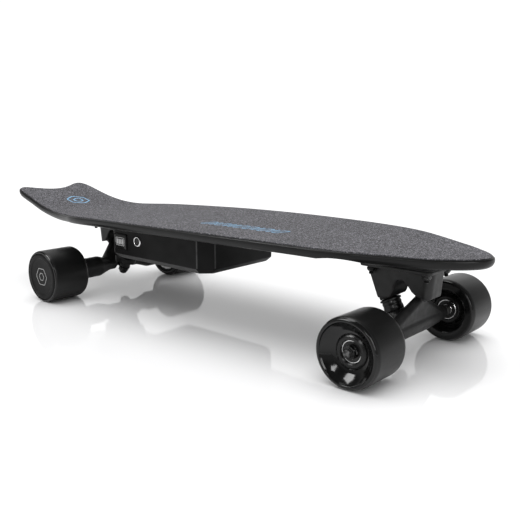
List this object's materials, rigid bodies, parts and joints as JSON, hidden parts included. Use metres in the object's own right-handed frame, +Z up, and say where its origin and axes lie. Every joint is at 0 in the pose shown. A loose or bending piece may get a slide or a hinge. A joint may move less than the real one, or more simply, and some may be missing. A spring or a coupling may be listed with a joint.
{
  "type": "electric skateboard",
  "caption": "Cambered skateboard deck with a kicked tail, steerable trucks, hub-motor rear wheels, free-rolling front wheels and a belly box with a display, push button and charge port.",
  "frame": {"origin": "on the ground, under the middle of the board's bounding box", "axes": "+X towards the nose along the deck, +Y to the rider's left across it, +Z up"},
  "size_m": [0.747, 0.2714, 0.1375],
  "materials": {
    "deck_lacquer": "black satin lacquer over laminated wood",
    "grip": "coarse dark grey grit",
    "riser_rubber": "matt black",
    "truck_black": "cast, satin black coat",
    "bushing": "satin black urethane",
    "steel": "plain turned steel",
    "black_steel": "black oxide fasteners",
    "urethane": "glossy black cast urethane",
    "core_plastic": "black moulded plastic",
    "motor_cover": "satin black coat",
    "enclosure_plastic": "fine-grained black moulding",
    "battery_wrap": "blue shrink wrap",
    "circuit": "potted circuit block",
    "chrome": "polished",
    "display_glass": "dark clear window"
  },
  "bodies": {
    "board": {"deck": "deck_lacquer", "grip_tape": "grip", "enclosure_shell": "enclosure_plastic", "battery_pack": "battery_wrap", "motor_controller": "circuit", "charge_socket": "core_plastic", "button_bezel": "chrome", "battery_display": "display_glass", "motor_cable_gland": "riser_rubber", "front_riser": "riser_rubber", "front_baseplate": "truck_black", "front_pivot_cup": "bushing", "front_kingpin": "black_steel", "front_kingpin_nut": "black_steel", "front_upper_washer": "black_steel", "front_lower_washer": "black_steel", "front_upper_bushing": "bushing", "front_lower_bushing": "bushing", "front_deck_bolt_1": "black_steel", "front_deck_bolt_2": "black_steel", "front_deck_bolt_3": "black_steel", "front_deck_bolt_4": "black_steel", "rear_riser": "riser_rubber", "rear_baseplate": "truck_black", "rear_pivot_cup": "bushing", "rear_kingpin": "black_steel", "rear_kingpin_nut": "black_steel", "rear_upper_washer": "black_steel", "rear_lower_washer": "black_steel", "rear_upper_bushing": "bushing", "rear_lower_bushing": "bushing", "rear_deck_bolt_1": "black_steel", "rear_deck_bolt_2": "black_steel", "rear_deck_bolt_3": "black_steel", "rear_deck_bolt_4": "black_steel"},
    "front_truck": {"front_hanger": "truck_black", "front_axle": "steel", "front_left_axle_nut": "black_steel", "front_right_axle_nut": "black_steel"},
    "rear_truck": {"rear_hanger": "truck_black", "rear_left_motor_shaft": "steel", "rear_left_stator": "steel", "rear_right_motor_shaft": "steel", "rear_right_stator": "steel"},
    "front_left_wheel": {"front_left_tyre": "urethane", "front_left_core": "core_plastic", "front_left_inner_bearing": "chrome", "front_left_outer_bearing": "chrome"},
    "rear_left_wheel": {"rear_left_tyre_sleeve": "urethane", "rear_left_rotor_can": "motor_cover", "rear_left_motor_cover": "motor_cover"},
    "front_right_wheel": {"front_right_tyre": "urethane", "front_right_core": "core_plastic", "front_right_inner_bearing": "chrome", "front_right_outer_bearing": "chrome"},
    "rear_right_wheel": {"rear_right_tyre_sleeve": "urethane", "rear_right_rotor_can": "motor_cover", "rear_right_motor_cover": "motor_cover"},
    "power_button": {"power_button": "core_plastic"},
    "charge_port_cap": {"charge_port_cap": "bushing"}
  },
  "joints": [
    {"name": "front_truck_steer", "type": "hinge", "parent": "board", "child": "front_truck", "pos_m": [0.2728, 0, 0.043], "axis": [0.766, 0, 0.6428], "range_deg": [-12, 12], "stiffness_Nm_per_rad": 30, "deforming": ["front_upper_bushing", "front_lower_bushing"]},
    {"name": "rear_truck_steer", "type": "hinge", "parent": "board", "child": "rear_truck", "pos_m": [-0.1808, 0, 0.043], "axis": [-0.766, 0, 0.6428], "range_deg": [-12, 12], "stiffness_Nm_per_rad": 30, "deforming": ["rear_upper_bushing", "rear_lower_bushing"]},
    {"name": "front_left_wheel_spin", "type": "hinge", "parent": "front_truck", "child": "front_left_wheel", "pos_m": [0.292, 0, 0.035], "axis": [0, 1, 0], "continuous": true},
    {"name": "front_right_wheel_spin", "type": "hinge", "parent": "front_truck", "child": "front_right_wheel", "pos_m": [0.292, 0, 0.035], "axis": [0, 1, 0], "continuous": true},
    {"name": "rear_left_wheel_spin", "type": "hinge", "parent": "rear_truck", "child": "rear_left_wheel", "pos_m": [-0.192, 0, 0.035], "axis": [0, 1, 0], "continuous": true},
    {"name": "rear_right_wheel_spin", "type": "hinge", "parent": "rear_truck", "child": "rear_right_wheel", "pos_m": [-0.192, 0, 0.035], "axis": [0, 1, 0], "continuous": true},
    {"name": "power_button_press", "type": "slide", "parent": "board", "child": "power_button", "axis": [0, 1, 0], "range_m": [0, 0.001], "stiffness_N_per_m": 800},
    {"name": "charge_port_cap_open", "type": "hinge", "parent": "board", "child": "charge_port_cap", "pos_m": [-0.098, 0.0701, 0.095], "axis": [1, 0, 0], "range_deg": [0, 120]}
  ]
}
